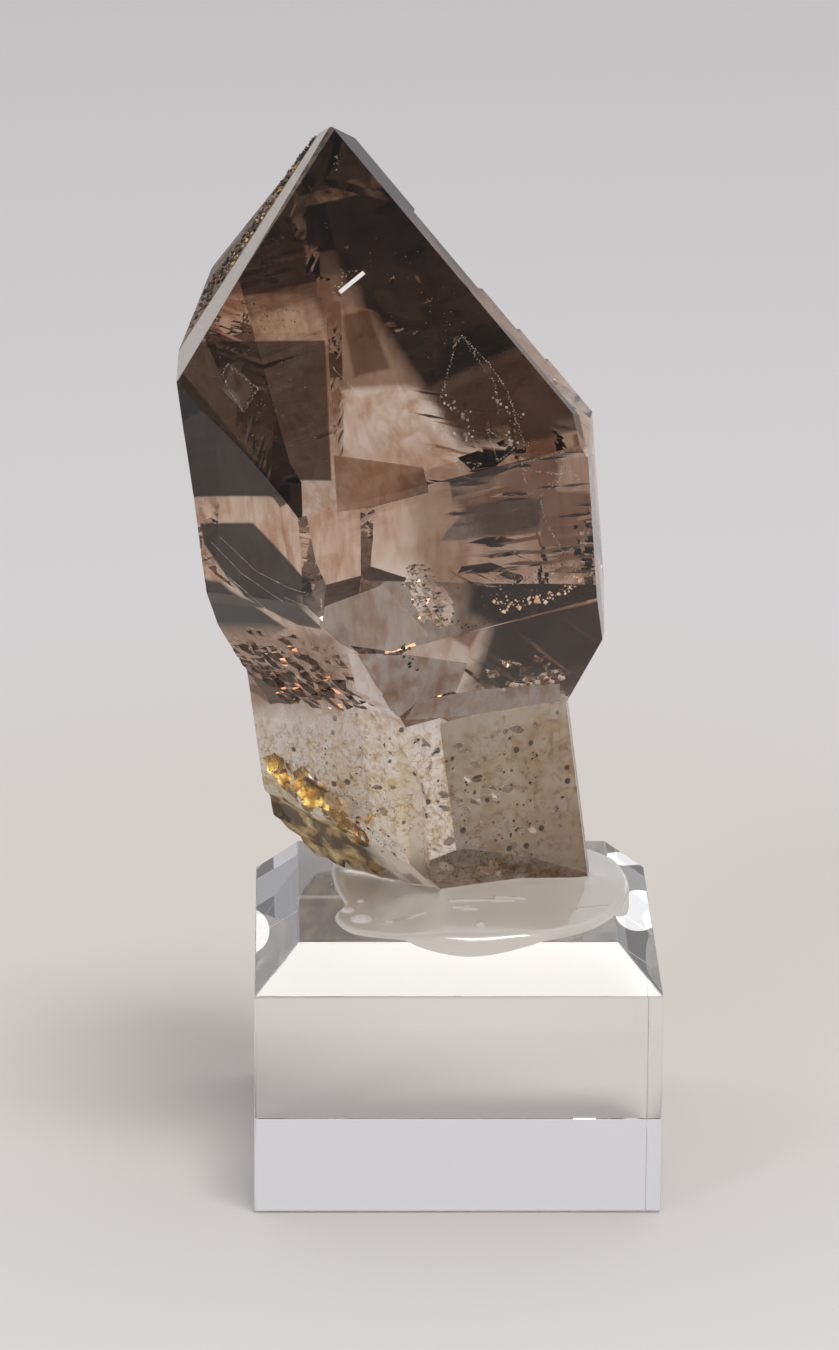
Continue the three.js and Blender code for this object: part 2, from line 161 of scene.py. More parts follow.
class Tree:
    """A node tree, with short ways to add nodes and to give their inputs values or links."""

    def __init__(self, tree):
        self.tree = tree

    def add(self, kind, settings=None, **inputs):
        node = self.tree.nodes.new(kind)
        for key, value in (settings or {}).items():
            setattr(node, key, value)
        for key, value in inputs.items():
            self.put(node, key.replace("_", " "), value)
        return node

    def put(self, node, key, value):
        if isinstance(value, bpy.types.NodeSocket):
            self.tree.links.new(value, node.inputs[key])
        else:
            node.inputs[key].default_value = value

    def math(self, operation, *values):
        node = self.add("ShaderNodeMath", {"operation": operation})
        for index, value in enumerate(values):
            self.put(node, index, value)
        return node.outputs[0]

    def times(self, first, second):
        return self.math("MULTIPLY", first, second)

    def dot(self, vector, direction):
        node = self.add("ShaderNodeVectorMath", {"operation": "DOT_PRODUCT"})
        self.put(node, 0, vector)
        self.put(node, 1, direction)
        return node.outputs["Value"]

    def ramp(self, value, start, end, low=0.0, high=1.0):
        """Runs smoothly from low at start to high at end, and stays level outside."""
        node = self.add("ShaderNodeMapRange", {"interpolation_type": "SMOOTHSTEP"})
        for index, number in enumerate((value, start, end, low, high)):
            self.put(node, index, number)
        return node.outputs[0]

    def mix(self, factor, first, second, blend="MIX"):
        node = self.add("ShaderNodeMix", {"data_type": "RGBA", "blend_type": blend})
        for index, value in ((0, factor), (6, first), (7, second)):
            self.put(node, index, value)
        return node.outputs[2]

    def noise(self, vector, scale, detail=3.0, distortion=0.0):
        node = self.add("ShaderNodeTexNoise", Vector=vector, Scale=scale, Detail=detail,
                        Distortion=distortion)
        return node.outputs[0]

    def spots(self, vector, scale, size):
        """1 on scattered round spots, in about half of the cells of a Voronoi pattern."""
        node = self.add("ShaderNodeTexVoronoi", Vector=vector, Scale=scale)
        red = self.add("ShaderNodeSeparateColor", Color=node.outputs["Color"]).outputs[0]
        chosen = self.ramp(red, 0.5, 0.52)
        spot = self.ramp(node.outputs["Distance"], size, size * 1.3, 1.0, 0.0)
        return self.times(spot, chosen)


class Material(Tree):
    """A material with one Principled shader."""

    def __init__(self, name):
        self.material = bpy.data.materials.new(name)
        self.material.use_nodes = True
        super().__init__(self.material.node_tree)
        self.shader = self.tree.nodes["Principled BSDF"]
        self.output = self.tree.nodes["Material Output"]

    def set(self, **inputs):
        for key, value in inputs.items():
            self.put(self.shader, key.replace("_", " "), value)

    def object_place(self):
        return self.add("ShaderNodeTexCoord").outputs["Object"]


class Face:
    """A flat face in the crystal's own frame, in millimetres; across and up lie in it."""

    def __init__(self, azimuth, polar, distance):
        a, p = math.radians(azimuth), math.radians(polar)
        self.normal = Vector((math.sin(p) * math.sin(a), -math.sin(p) * math.cos(a), math.cos(p)))
        self.distance = distance
        self.across = Z_AXIS.cross(self.normal).normalized()
        self.up = self.normal.cross(self.across)

    def at(self, across, up, depth=0.0):
        """The point that lies depth under the face."""
        return self.normal * (self.distance - depth) + self.across * across + self.up * up


def neck_face(azimuth, polar, outward, height):
    """A sloping face that is outward from the long axis at a height."""
    slope = math.radians(polar)
    return Face(azimuth, polar, math.sin(slope) * outward + math.cos(slope) * height)


# The crystal's faces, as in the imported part: azimuth from its front, polar angle, distance
FACES = {
    "front_rhomb": Face(0, 51.79, 36.45),
    "left_rhomb": Face(-118.4, 47.0, 49.35),
    "front": Face(0, 90, 13.96),
    "front_left": Face(-60, 90, 19.65),
    "left": Face(-120, 90, 15.5),
    "back_left": Face(180, 81.3, 27.6),
    "neck_front": neck_face(0, 114.6, 13.96, 26.15),
    "neck_front_left": neck_face(-60, 124, 19.65, 33),
    "stem_front": Face(0, 90, 9.46),
    "stem_front_left": Face(-60, 90, 9.6),
    "stem_left": Face(-120, 90, 14.7),
    "stem_back_left": Face(180, 90, 8.5),
    "stem_back_right": Face(120, 90, 7.0),
    "stem_right": Face(60, 90, 15.1),
    "stem_break": Face(-72, 120.7, 4.9),
}
STEM_FACES = [face for name, face in FACES.items() if name.startswith("stem")]


def photo_camera():
    yaw, pitch, roll = (math.radians(a) for a in (CAMERA_YAW, CAMERA_PITCH, CAMERA_ROLL))
    looking = Vector((math.sin(yaw) * math.cos(pitch), math.cos(yaw) * math.cos(pitch), -math.sin(pitch)))
    level_right = looking.cross(Z_AXIS).normalized()
    level_up = level_right.cross(looking)
    right = level_right * math.cos(roll) + level_up * math.sin(roll)
    up = level_up * math.cos(roll) - level_right * math.sin(roll)
    data = bpy.data.cameras.new("photo_camera")
    data.lens = CAMERA_LENS
    data.sensor_width = CAMERA_SENSOR
    data.clip_start = 0.05
    data.clip_end = 10
    camera = link(bpy.data.objects.new("photo_camera", data))
    place = Matrix((right, up, -looking)).transposed().to_4x4()
    place.translation = (CAMERA_TARGET - looking * CAMERA_DISTANCE) * MM
    camera.matrix_world = place
    bpy.context.scene.camera = camera


def crystal_place(n):
    """The place in the crystal's own frame, in millimetres."""
    mapping = n.add("ShaderNodeMapping", {"vector_type": "TEXTURE"}, Vector=n.object_place())
    n.put(mapping, "Location", CRYSTAL_AT * MM)
    n.put(mapping, "Rotation", CRYSTAL_TURNED.to_euler())
    n.put(mapping, "Scale", (MM, MM, MM))
    return mapping.outputs[0]


def near_face(n, place, face, reach=0.8):
    """1 on a face and down to reach under or over it."""
    off = n.math("SUBTRACT", n.dot(place, face.normal), face.distance)
    return n.ramp(n.math("ABSOLUTE", off), reach, reach * 1.3, 1.0, 0.0)


def zone(n, place, face, corners, soft):
    """1 inside a patch with straight sides on a face, whose corners bound a convex shape."""
    middle = sum((Vector(c) for c in corners), Vector((0, 0))) / len(corners)
    inside = None
    for first, second in zip(corners, corners[1:] + corners[:1]):
        along = (Vector(second) - Vector(first)).normalized()
        inward = Vector((-along.y, along.x))
        if inward.dot(middle - Vector(first)) < 0:
            inward.negate()
        direction = face.across * inward.x + face.up * inward.y
        side = n.math("SUBTRACT", n.dot(place, direction), inward.dot(Vector(first)))
        inside = side if inside is None else n.math("MINIMUM", inside, side)
    mask = n.ramp(inside, -soft, soft)
    return n.times(mask, near_face(n, place, face))


# Zones of smoke and of painted light and shade: partly the head's real smoke, partly tints that stand in for
# its light windows and its dark mirrored views. Face, tint, softness of the edge in mm, corners (across, up)
# in mm
# In the zones, the clearest and the darkest tints paint light windows and dark mirrored views into the head
WINDOW = (1.0, 1.0, 1.0, 1)
CLEAR = (0.98, 0.93, 0.88, 1)
PALE = (0.80, 0.65, 0.53, 1)
TAN = (0.60, 0.42, 0.29, 1)
MIDDLE = (0.44, 0.28, 0.185, 1)
UMBER = (0.27, 0.165, 0.105, 1)
BROWN = (0.19, 0.105, 0.062, 1)
SMOKE = (0.048, 0.026, 0.015, 1)
DARK = (0.022, 0.013, 0.008, 1)
BLACK = (0.004, 0.0025, 0.0018, 1)
GREY = (0.060, 0.050, 0.044, 1)
LENS = (0.008, 0.007, 0.0065, 1)
INK = (0.0006, 0.0005, 0.0004, 1)
SMOKE_AND_PAINTED_LIGHT_ZONES = [
    ("front_rhomb", MIDDLE, 0.3, [(-14.5, 47), (-4.6, 44.6), (-5.0, 39.6), (-14.5, 42.2)]),
    ("front_rhomb", WINDOW, 0.4,
     [(-5.3, 34.8), (0.6, 33.6), (2.6, 32.2), (3.4, 27.0), (2.5, 22), (-9.5, 24)]),
    ("front_rhomb", TAN, 2.2, [(-9.8, 29.6), (3.6, 28.2), (2.5, 21), (-9.8, 21)]),
    ("left", CLEAR, 0.6, [(-9.6, 24), (-3.8, 24), (-3.8, 33.5), (-8.6, 35)]),
    ("back_left", PALE, 0.15, [(0.2, 39.3), (4.9, 40.6), (5.8, 45.4), (0.4, 44.6)]),
    ("back_left", DARK, 0.25, [(-2, 45.0), (12, 45.6), (12, 60), (-2, 60)]),
    ("left", BLACK, 1.2, [(-13.2, 40), (-9.5, 30), (10, 34), (10, 62), (-14, 62)]),
    ("left", BROWN, 1.0, [(-9.5, 30), (-4, 20), (10, 20), (10, 34)]),
    ("left", BROWN, 0.3, [(-16, 34), (-12.2, 34), (-13.2, 41), (-16, 41)]),
    ("front_rhomb", DARK, 0.12, [(-26, 45.0), (-5.2, 39.9), (-9.6, 26.4), (-24, 30.3)]),
    ("front_rhomb", DARK, 0.12, [(-24, 30.6), (-13.4, 27.6), (-14.1, 25.2), (-26, 28.6)]),
    ("front_rhomb", SMOKE, 0.9, [(2.4, 33.2), (7.5, 38), (19, 36), (18, 22.5), (3.4, 26.6)]),
    ("front_left", BLACK, 0.12, [(-10, 41.9), (5.5, 43.2), (6.0, 58), (-10, 58)]),
    ("neck_front_left", LENS, 0.15, [(-3.6, 39.2), (-0.8, 36.9), (1.2, 34.7), (4.6, 34.3), (7.4, 39.2)]),
    ("neck_front_left", INK, 0.3,
     [(-9.5, 39.4), (-4.6, 39.4), (-1.4, 36.6), (0.4, 33.8), (-3, 31.5), (-9.5, 28)]),
    ("front_left", LENS, 0.15,
     [(-6.4, 39.7), (-0.4, 40.2), (4.8, 35.8), (6.6, 33.5), (6.1, 30.8), (-0.2, 32.0), (-4.0, 34.7),
      (-6.2, 37.7)]),
    ("front_left", LENS, 0.3,
     [(-8.0, 34.4), (-4.4, 33.9), (-0.6, 32.1), (-0.2, 29.0), (-4.5, 26.6), (-8, 28.0)]),
    ("front", UMBER, 2.0, [(-3.0, 44), (19, 44), (19, 27.5), (-3.5, 30)]),
    ("front", CLEAR, 1.0, [(-14, 33), (-3, 34), (-1, 24), (-13, 24)]),
    ("neck_front", WINDOW, 1.0, [(-13, 33), (-3, 31), (2, 19), (-8, 18)]),
    ("neck_front", WINDOW, 0.4, [(-5.5, 22.6), (3.4, 21.8), (12.2, 19.8), (12.2, 16.0), (-5.5, 18.0)]),
    ("front", GREY, 0.18, [(-0.6, 35.6), (2.8, 38.2), (10.4, 37.2), (9.6, 34.4), (2.2, 35.0)]),
    ("front", WINDOW, 0.18, [(11.8, 37.4), (12.4, 40.6), (17.0, 40.6), (16.6, 36.0)]),
    ("neck_front_left", UMBER, 1.5, [(-9, 32), (7, 34), (1, 21), (-13, 19)]),
    ("neck_front", MIDDLE, 1.0, [(2, 32), (19, 32), (19, 21.0), (6, 22.6)]),
    ("stem_front", PALE, 0.5, [(6.9, 14), (14.5, 14), (13, -3), (5.4, -3)]),
]

# Smoke along the crystal: the heights in mm where a tint starts and is full, and the tint
SMOKE_LEVELS = [(20, 30, PALE), (40, 52, BROWN), (54, 66, SMOKE)]
SMOKE_SWAY = 14.0

# Stains in the stem: noise scale, where the noise starts and is full, colour
STEM_HEIGHTS = (-10, 13.5)
STEM_STAINS = [
    (0.22, 0.48, 0.66, (0.90, 0.81, 0.60, 1)),
    (0.60, 0.50, 0.66, (0.72, 0.58, 0.39, 1)),
    (1.30, 0.56, 0.66, (0.58, 0.48, 0.34, 1)),
]

# Where the gold shows through the stem's front left face: corners (across, up) in mm
GOLD_PATCH = [(-14, 15), (-10.5, 12.8), (-3, 8.0), (2.2, 4.6), (2, -1), (-6, -2), (-14, 4)]


def near_height(n, height, low, high, fade):
    """1 between two heights along the crystal, and nothing a fade beyond them."""
    above = n.ramp(height, low - fade, low)
    below = n.ramp(height, high, high + fade, 1.0, 0.0)
    return n.times(above, below)


def clouded(n, place, height, tint):
    """Smoke in soft clouds and in fine brown wisps that are drawn out along the head."""
    head = n.ramp(height, 14, 18)
    drawn_out = n.add("ShaderNodeMapping", Vector=place, Rotation=(0.5, 0.35, 0), Scale=(0.5, 0.5, 0.11))
    wisp = n.ramp(n.noise(drawn_out.outputs[0], 1.0, 6.0, 1.6), 0.44, 0.66)
    tint = n.mix(n.times(wisp, head), tint, (0.74, 0.58, 0.46, 1), "MULTIPLY")
    cloud = n.ramp(n.noise(place, 0.33, 6.0, 0.7), 0.44, 0.70)
    return n.mix(n.times(cloud, head), tint, (0.76, 0.62, 0.51, 1), "MULTIPLY")


def smoked_back(n, place, height, tint):
    """The darkest smoke, high on the crystal's back."""
    depth = n.add("ShaderNodeSeparateXYZ", Vector=place).outputs[1]
    smoke = n.times(n.ramp(depth, 6.0, 8.0), n.ramp(height, 45.5, 47.0))
    return n.mix(smoke, tint, (0.22, 0.17, 0.13, 1), "MULTIPLY")


def iron_stained(n, place, height, tint):
    """Yellow-brown stains, veins and black specks in the stem."""
    stem = near_height(n, height, *STEM_HEIGHTS, 3.0)
    for scale, start, end, colour in STEM_STAINS:
        stain = n.times(n.ramp(n.noise(place, scale, 6.0, 1.0), start, end), stem)
        tint = n.mix(stain, tint, colour, "MULTIPLY")
    off_middle = n.math("ABSOLUTE", n.math("SUBTRACT", n.noise(place, 0.42, 5.0, 1.5), 0.5))
    vein = n.ramp(off_middle, 0.006, 0.016, 1.0, 0.0)
    tint = n.mix(n.times(vein, stem), tint, (0.50, 0.37, 0.25, 1), "MULTIPLY")
    speck = n.times(n.spots(place, 0.62, 0.17), stem)
    return n.mix(speck, tint, (0.03, 0.02, 0.012, 1))


def gilded(n, place, tint):
    """Gold and dark brown iron stain where the stem is broken, seen through an amber patch."""
    mottle = n.noise(place, 0.5, 3.0, 0.3)
    gold = n.mix(n.ramp(mottle, 0.42, 0.56), (0.04, 0.022, 0.01, 1), (0.50, 0.27, 0.06, 1))
    gold = n.mix(n.ramp(mottle, 0.56, 0.66), gold, (1.0, 0.80, 0.26, 1))
    right = n.ramp(n.dot(place, FACES["stem_front_left"].across), -2.5, 1.0)
    gold = n.mix(right, gold, (0.85, 0.78, 0.66, 1))
    tint = n.mix(near_face(n, place, FACES["stem_break"], 1.1), tint, gold)
    honey = n.ramp(n.noise(place, 0.6, 3.0, 0.6), 0.42, 0.56)
    amber = n.mix(honey, (0.62, 0.46, 0.22, 1), (1.0, 0.93, 0.66, 1))
    amber = n.mix(right, amber, (0.94, 0.90, 0.82, 1))
    return n.mix(zone(n, place, FACES["stem_front_left"], GOLD_PATCH, 0.7), tint, amber)


def mottled_side(n, place, tint):
    """The etched left rhomb face, mottled brown, black and gold."""
    cloud = n.noise(place, 0.7, 5.0, 1.0)
    brown = n.mix(n.ramp(cloud, 0.40, 0.52), (0.02, 0.012, 0.007, 1), (0.24, 0.12, 0.05, 1))
    brown = n.mix(n.ramp(cloud, 0.56, 0.66), brown, (0.75, 0.50, 0.22, 1))
    return n.mix(near_face(n, place, FACES["left_rhomb"]), tint, brown)


def crystal_tint(n):
    """Smoke that thickens from the clear stem to the dark tip, cut by the straight-sided zones of smoke and
    painted light and shade.
    """
    place = crystal_place(n)
    height = n.add("ShaderNodeSeparateXYZ", Vector=place).outputs[2]
    cloud = n.noise(place, 0.16, 4.0, 0.6)
    lifted = n.math("ADD", height, n.times(n.math("SUBTRACT", cloud, 0.5), SMOKE_SWAY))
    tint = CLEAR
    for start, end, colour in SMOKE_LEVELS:
        tint = n.mix(n.ramp(lifted, start, end), tint, colour)
    # Painted light and shade: these zone tints stand in for the head's light windows and dark views, over its
    # smoke
    for face, colour, soft, corners in SMOKE_AND_PAINTED_LIGHT_ZONES:
        tint = n.mix(zone(n, place, FACES[face], corners, soft), tint, colour)
    tint = smoked_back(n, place, height, clouded(n, place, height, tint))
    tint = mottled_side(n, place, tint)
    return gilded(n, place, iron_stained(n, place, height, tint))


def stem_haze(n):
    """How rough the crystal is: clear head, hazy stem, and clearest on the stem's front."""
    place = crystal_place(n)
    height = n.add("ShaderNodeSeparateXYZ", Vector=place).outputs[2]
    cloud = n.noise(place, 0.5, 4.0)
    low = n.ramp(n.math("ADD", height, n.times(cloud, 5.0)), 15, 22, 1.0, 0.0)
    front = near_face(n, place, FACES["stem_front"])
    left = near_face(n, place, FACES["stem_front_left"])
    clear_side = n.math("MAXIMUM", front, left)
    rough = n.math("SUBTRACT", 0.42, n.times(clear_side, 0.38))
    etched = n.times(near_face(n, place, FACES["left_rhomb"]), n.ramp(cloud, 0.3, 0.7, 0.35, 0.6))
    return n.math("MAXIMUM", n.times(low, rough), etched)


def absorbing(n):
    """The smoke in the quartz's body."""
    volume = n.add("ShaderNodeVolumeAbsorption", Color=(0.66, 0.42, 0.24, 1), Density=10.0)
    n.tree.links.new(volume.outputs[0], n.output.inputs["Volume"])


def quartz():
    n = Material("smoky_quartz")
    n.set(Base_Color=crystal_tint(n), Roughness=stem_haze(n), IOR=QUARTZ_IOR, Transmission_Weight=1.0)
    absorbing(n)
    return n.material


def quartz_in_resin():
    """The foot's rough broken faces, where light passes from resin to quartz."""
    n = Material("smoky_quartz_in_resin")
    place = crystal_place(n)
    stain = n.ramp(n.noise(place, 0.5, 5.0, 0.8), 0.45, 0.65)
    n.set(Base_Color=n.mix(stain, (0.93, 0.87, 0.78, 1), (0.66, 0.53, 0.38, 1)),
          Roughness=0.6, IOR=QUARTZ_IOR / ACRYLIC_IOR, Transmission_Weight=0.3)
    absorbing(n)
    return n.material


def frosted_edge():
    """The etched flat along the edge of the front and left rhomb faces."""
    n = Material("smoky_quartz_edge")
    cloud = n.noise(crystal_place(n), 1.2, 4.0)
    n.set(Base_Color=n.mix(cloud, (0.98, 0.96, 0.94, 1), (0.86, 0.82, 0.78, 1)), Roughness=0.3,
          IOR=QUARTZ_IOR, Transmission_Weight=0.55)
    absorbing(n)
    return n.material


def acrylic(name, ior):
    n = Material(name)
    n.set(Base_Color=(0.985, 0.985, 0.99, 1), Roughness=0.0, IOR=ior, Transmission_Weight=1.0)
    return n.material


def resin():
    """The seat's outside: wet gloss over a see-through but faintly milky, warm body."""
    n = Material("clear_resin")
    cloud = n.noise(n.object_place(), 260.0, 3.0)
    n.set(Base_Color=n.mix(cloud, (0.93, 0.875, 0.80, 1), (0.85, 0.80, 0.72, 1)), Roughness=0.28,
          IOR=ACRYLIC_IOR, Transmission_Weight=0.55, Coat_Weight=1.0, Coat_Roughness=0.02,
          Coat_IOR=ACRYLIC_IOR)
    return n.material


def paper():
    """Pale paper, with a painted warm, darker shadow round the block."""
    n = Material("pale_paper")
    away = n.add("ShaderNodeVectorMath", {"operation": "DISTANCE"})
    n.put(away, 0, n.object_place())
    n.put(away, 1, SHADOW_MIDDLE)
    # Painted shadow: warmer and darker round the block, for the tinted shadow that the crystal casts
    painted_shadow = n.ramp(away.outputs["Value"], *SHADOW_REACHES, 1.0, 0.0)
    n.set(Base_Color=n.mix(painted_shadow, (0.80, 0.787, 0.792, 1), (0.765, 0.725, 0.68, 1)), Roughness=0.9)
    n.shader.inputs["Specular IOR Level"].default_value = 0.1
    return n.material


def floor():
    """The stage's paper lies a hair under the block, so that the block's underside mirrors."""
    bm = bmesh.new()
    bmesh.ops.create_circle(bm, cap_ends=True, radius=FLOOR_RADIUS, segments=96)
    bmesh.ops.translate(bm, verts=bm.verts, vec=(0, 0, -FLOOR_GAP))
    mesh_object("floor", mesh_of("floor", bm), [paper()], body=None)


def soft_light(name, place, aim, width, height, power, colour=NEUTRAL, shape="RECTANGLE"):
    data = bpy.data.lights.new(name, "AREA")
    data.shape = shape
    data.size = width
    data.size_y = height
    data.energy = power
    data.color = colour
    lamp = link(bpy.data.objects.new(name, data))
    lamp.location = place
    lamp.rotation_euler = (Vector(aim) - Vector(place)).to_track_quat("-Z", "Y").to_euler()


def surroundings():
    """A pale wall behind, a brighter ceiling over it and a dim room in front."""
    world = bpy.data.worlds.new("studio")
    world.use_nodes = True
    bpy.context.scene.world = world
    n = Tree(world.node_tree)
    background = n.tree.nodes["Background"]
    direction = n.add("ShaderNodeTexCoord").outputs["Generated"]
    axes = n.add("ShaderNodeSeparateXYZ", Vector=direction).outputs
    behind = n.ramp(axes["Y"], -0.35, 0.3)
    wall = n.ramp(axes["Z"], 0.4, 0.75, WALL_LEVEL, CEILING_LEVEL)
    level = n.math("MULTIPLY_ADD", behind, n.math("SUBTRACT", wall, ROOM_LEVEL), ROOM_LEVEL)
    n.put(background, "Color", STUDIO_COLOUR)
    n.put(background, "Strength", level)


def lighting():
    surroundings()
    for softbox in SOFTBOXES:
        soft_light(*softbox)
    for name, place, width, height, power in GLINTS:
        soft_light(name, place, GLINT_AIM, width, height, power, shape="ELLIPSE")
    bpy.context.scene.view_settings.view_transform = "Standard"


def in_world(place):
    """A place in the crystal's frame, in millimetres, as a place in the scene."""
    return (CRYSTAL_AT + CRYSTAL_TURNED @ place) * MM


def in_crystal(spot):
    """A place in the scene as a place in the crystal's frame, in millimetres."""
    return TURNED_BACK @ (spot / MM - CRYSTAL_AT)


def surface_of(mesh):
    """A mesh as a tree that finds its nearest points and the points that a ray hits."""
    return BVHTree.FromPolygons([v.co for v in mesh.vertices], [p.vertices for p in mesh.polygons])


SOLID = surface_of(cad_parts["scepter_crystal"].data)

# A grain is moved on to the crystal's surface from this far outside it at most, in mm
GRAIN_PULL = 0.8


def depth_inside(place):
    """How deep a place lies in the crystal, in millimetres; less than 0 is outside."""
    spot = in_world(place)
    nearest, normal, _, away = SOLID.find_nearest(spot)
    return math.copysign(away / MM, (nearest - spot).dot(normal))


def on_crystal(place):
    """A place inside the crystal as it is, one just outside moved on to the surface, or None."""
    depth = depth_inside(place)
    if depth >= 0:
        return place
    if depth < -GRAIN_PULL:
        return None
    return in_crystal(SOLID.find_nearest(in_world(place))[0])


def spot_in(corners, chance):
    """A random spot in a patch with four corners."""
    a, b, c, d = (Vector(corner) for corner in corners)
    return a.lerp(b, chance.random()).lerp(d.lerp(c, chance.random()), chance.random())


def shaken(direction, spread, chance):
    """A direction that is turned a little at random."""
    return (direction + Vector([chance.gauss(0, spread) for _ in range(3)])).normalized()


def close_up(bm, rows):
    """Makes rings of equally many vertices, from first to last, into one closed surface."""
    bm.faces.new(rows[0][::-1])
    bm.faces.new(rows[-1])
    for lower, upper in zip(rows, rows[1:]):
        for corner in range(len(lower)):
            after = (corner + 1) % len(lower)
            bm.faces.new((lower[corner], lower[after], upper[after], upper[corner]))


def grain(bm, place, size, chance):
    """A small closed grain with six uneven corners, set in the crystal or on its surface."""
    place = on_crystal(place)
    if place is None:
        return
    reach = [size / 2 * chance.uniform(0.6, 1.3) for _ in range(6)]
    arms = [Vector((reach[0], 0, 0)), Vector((0, reach[1], 0)), Vector((-reach[2], 0, 0)),
            Vector((0, -reach[3], 0))]
    tilt = Matrix.Rotation(chance.uniform(0, math.pi), 3, "X")
    turn = tilt @ Matrix.Rotation(chance.uniform(0, math.pi), 3, "Y")
    ring = [bm.verts.new(in_world(place + turn @ arm)) for arm in arms]
    top = bm.verts.new(in_world(place + turn @ Vector((0, 0, reach[4]))))
    bottom = bm.verts.new(in_world(place - turn @ Vector((0, 0, reach[5]))))
    for corner in range(4):
        after = ring[(corner + 1) % 4]
        bm.faces.new((ring[corner], after, top))
        bm.faces.new((after, ring[corner], bottom))


def flake(bm, place, facing, radius, chance, thickness=0.05, dishing=0.12, cover=0.9):
    """A thin closed sheet, slightly dished, with a ragged outline of five to eight corners.

    It is left out where less than a share of its radius, the cover, lies over its middle.
    """
    if depth_inside(place) < cover * radius:
        return
    side = facing.orthogonal().normalized()
    other = facing.cross(side).normalized()
    count = chance.randint(5, 8)
    turn = chance.uniform(0, math.tau)
    dish = facing * radius * chance.uniform(-dishing, dishing)
    outline = []
    for corner in range(count):
        angle = turn + math.tau * (corner + chance.uniform(-0.25, 0.25)) / count
        reach = radius * chance.uniform(0.65, 1.15)
        outline.append(side * math.cos(angle) * reach + other * math.sin(angle) * reach)
    half = facing * thickness / 2
    over = [bm.verts.new(in_world(place + point + half)) for point in outline]
    under = [bm.verts.new(in_world(place + point - half)) for point in outline]
    top = bm.verts.new(in_world(place + dish + half))
    bottom = bm.verts.new(in_world(place + dish - half))
    for corner in range(count):
        after = (corner + 1) % count
        bm.faces.new((top, over[corner], over[after]))
        bm.faces.new((bottom, under[after], under[corner]))
        bm.faces.new((over[corner], under[corner], under[after], over[after]))


